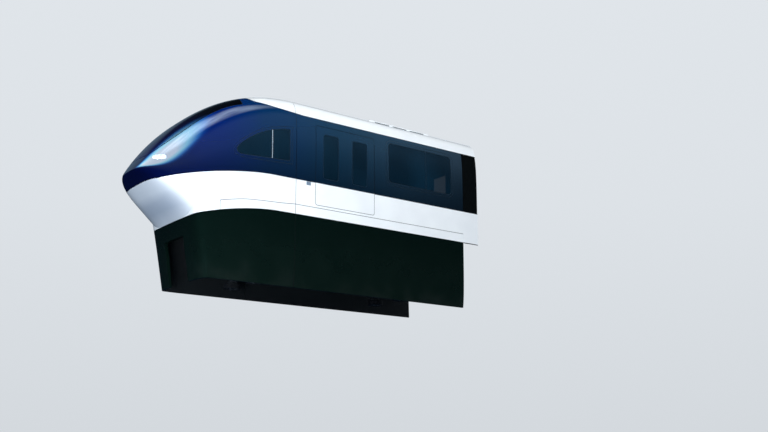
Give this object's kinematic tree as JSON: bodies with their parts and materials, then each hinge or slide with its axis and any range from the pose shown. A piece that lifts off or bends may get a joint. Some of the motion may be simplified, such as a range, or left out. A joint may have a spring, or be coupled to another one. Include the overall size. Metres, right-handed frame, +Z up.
{
  "type": "monorail car",
  "caption": "Streamlined end car of a small straddle monorail train: white body, dark glazed band, one wide plug door a side, half gangway and rubber-tyred bogies.",
  "frame": {"origin": "on the centre line, at the running surface of the guide beam, 0.1 m ahead of the middle between the bogie pivots", "axes": "+Z up, +X along the car from the nose to the gangway, -Y the left side as seen with the nose at -X"},
  "size_m": [9.63, 2.5, 4.91],
  "materials": {
    "white_paint": "gloss white",
    "gloss_band": "mirror gloss blue black",
    "door_paint": "gloss, dark above the belt and white below",
    "tinted_glass": "dark blue tint",
    "skirt_paint": "gloss black with a green cast",
    "lining": "matt light grey",
    "console_plastic": "grained charcoal",
    "seat_cloth": "woven blue",
    "lamp_lens": "clear",
    "bellows_rubber": "matt black, pleated",
    "stainless_steel": "brushed",
    "bogie_paint": "satin dark grey",
    "tyre_rubber": "black"
  },
  "bodies": {
    "root": {"nose_shell": "white_paint", "nose_canopy": "gloss_band", "windscreen": "tinted_glass", "nose_apron": "skirt_paint", "cab_window_left": "tinted_glass", "cab_window_right": "tinted_glass", "headlamp_left": "lamp_lens", "headlamp_right": "lamp_lens", "lower_panel_left": "white_paint", "lower_panel_right": "white_paint", "sill_panel_left": "white_paint", "sill_panel_right": "white_paint", "nose_hatch_left": "white_paint", "nose_hatch_right": "white_paint", "window_band_left": "gloss_band", "window_band_right": "gloss_band", "skirt_left": "skirt_paint", "skirt_right": "skirt_paint", "saloon_window_left": "tinted_glass", "saloon_window_right": "tinted_glass", "door_leaf_left": "door_paint", "door_leaf_right": "door_paint", "door_glass_front_left": "tinted_glass", "door_glass_rear_left": "tinted_glass", "door_glass_front_right": "tinted_glass", "door_glass_rear_right": "tinted_glass", "roof": "white_paint", "roof_unit": "white_paint", "floor": "lining", "underframe": "bogie_paint", "end_wall": "lining", "gangway_bellows": "bellows_rubber", "drawbar": "bogie_paint", "cab_partition": "lining", "drivers_console": "console_plastic", "drivers_seat": "seat_cloth", "bench_seat_left": "seat_cloth", "bench_seat_right": "seat_cloth", "grab_rails": "stainless_steel"},
    "front_bogie": {"front_bogie_frame": "bogie_paint"},
    "front_wheelset": {"front_load_axle": "bogie_paint", "front_load_tyre_left": "tyre_rubber", "front_load_tyre_right": "tyre_rubber"},
    "front_guide_fore_left": {"front_guide_wheel_fore_left": "tyre_rubber"},
    "front_guide_fore_right": {"front_guide_wheel_fore_right": "tyre_rubber"},
    "front_guide_aft_left": {"front_guide_wheel_aft_left": "tyre_rubber"},
    "front_guide_aft_right": {"front_guide_wheel_aft_right": "tyre_rubber"},
    "front_stabiliser_left": {"front_stabiliser_wheel_left": "tyre_rubber"},
    "front_stabiliser_right": {"front_stabiliser_wheel_right": "tyre_rubber"},
    "rear_bogie": {"rear_bogie_frame": "bogie_paint"},
    "rear_wheelset": {"rear_load_axle": "bogie_paint", "rear_load_tyre_left": "tyre_rubber", "rear_load_tyre_right": "tyre_rubber"},
    "rear_guide_fore_left": {"rear_guide_wheel_fore_left": "tyre_rubber"},
    "rear_guide_fore_right": {"rear_guide_wheel_fore_right": "tyre_rubber"},
    "rear_guide_aft_left": {"rear_guide_wheel_aft_left": "tyre_rubber"},
    "rear_guide_aft_right": {"rear_guide_wheel_aft_right": "tyre_rubber"},
    "rear_stabiliser_left": {"rear_stabiliser_wheel_left": "tyre_rubber"},
    "rear_stabiliser_right": {"rear_stabiliser_wheel_right": "tyre_rubber"}
  },
  "joints": [
    {"name": "front_bogie_yaw", "type": "hinge", "parent": "root", "child": "front_bogie", "pos_m": [-2.1, 0, 0.945], "axis": [0, 0, 1], "range_deg": [-4, 4]},
    {"name": "front_wheelset_spin", "type": "hinge", "parent": "front_bogie", "child": "front_wheelset", "pos_m": [-2.1, 0, 0.43], "axis": [0, 1, 0], "continuous": true},
    {"name": "front_guide_fore_left_spin", "type": "hinge", "parent": "front_bogie", "child": "front_guide_fore_left", "pos_m": [-2.9, -0.55, -0.23], "axis": [0, 0, 1], "continuous": true},
    {"name": "front_guide_fore_right_spin", "type": "hinge", "parent": "front_bogie", "child": "front_guide_fore_right", "pos_m": [-2.9, 0.55, -0.23], "axis": [0, 0, 1], "continuous": true},
    {"name": "front_guide_aft_left_spin", "type": "hinge", "parent": "front_bogie", "child": "front_guide_aft_left", "pos_m": [-1.3, -0.55, -0.23], "axis": [0, 0, 1], "continuous": true},
    {"name": "front_guide_aft_right_spin", "type": "hinge", "parent": "front_bogie", "child": "front_guide_aft_right", "pos_m": [-1.3, 0.55, -0.23], "axis": [0, 0, 1], "continuous": true},
    {"name": "front_stabiliser_left_spin", "type": "hinge", "parent": "front_bogie", "child": "front_stabiliser_left", "pos_m": [-2.1, -0.55, -0.76], "axis": [0, 0, 1], "continuous": true},
    {"name": "front_stabiliser_right_spin", "type": "hinge", "parent": "front_bogie", "child": "front_stabiliser_right", "pos_m": [-2.1, 0.55, -0.76], "axis": [0, 0, 1], "continuous": true},
    {"name": "rear_bogie_yaw", "type": "hinge", "parent": "root", "child": "rear_bogie", "pos_m": [2.3, 0, 0.945], "axis": [0, 0, 1], "range_deg": [-4, 4]},
    {"name": "rear_wheelset_spin", "type": "hinge", "parent": "rear_bogie", "child": "rear_wheelset", "pos_m": [2.3, 0, 0.43], "axis": [0, 1, 0], "continuous": true},
    {"name": "rear_guide_fore_left_spin", "type": "hinge", "parent": "rear_bogie", "child": "rear_guide_fore_left", "pos_m": [1.5, -0.55, -0.23], "axis": [0, 0, 1], "continuous": true},
    {"name": "rear_guide_fore_right_spin", "type": "hinge", "parent": "rear_bogie", "child": "rear_guide_fore_right", "pos_m": [1.5, 0.55, -0.23], "axis": [0, 0, 1], "continuous": true},
    {"name": "rear_guide_aft_left_spin", "type": "hinge", "parent": "rear_bogie", "child": "rear_guide_aft_left", "pos_m": [3.1, -0.55, -0.23], "axis": [0, 0, 1], "continuous": true},
    {"name": "rear_guide_aft_right_spin", "type": "hinge", "parent": "rear_bogie", "child": "rear_guide_aft_right", "pos_m": [3.1, 0.55, -0.23], "axis": [0, 0, 1], "continuous": true},
    {"name": "rear_stabiliser_left_spin", "type": "hinge", "parent": "rear_bogie", "child": "rear_stabiliser_left", "pos_m": [2.3, -0.55, -0.76], "axis": [0, 0, 1], "continuous": true},
    {"name": "rear_stabiliser_right_spin", "type": "hinge", "parent": "rear_bogie", "child": "rear_stabiliser_right", "pos_m": [2.3, 0.55, -0.76], "axis": [0, 0, 1], "continuous": true}
  ]
}
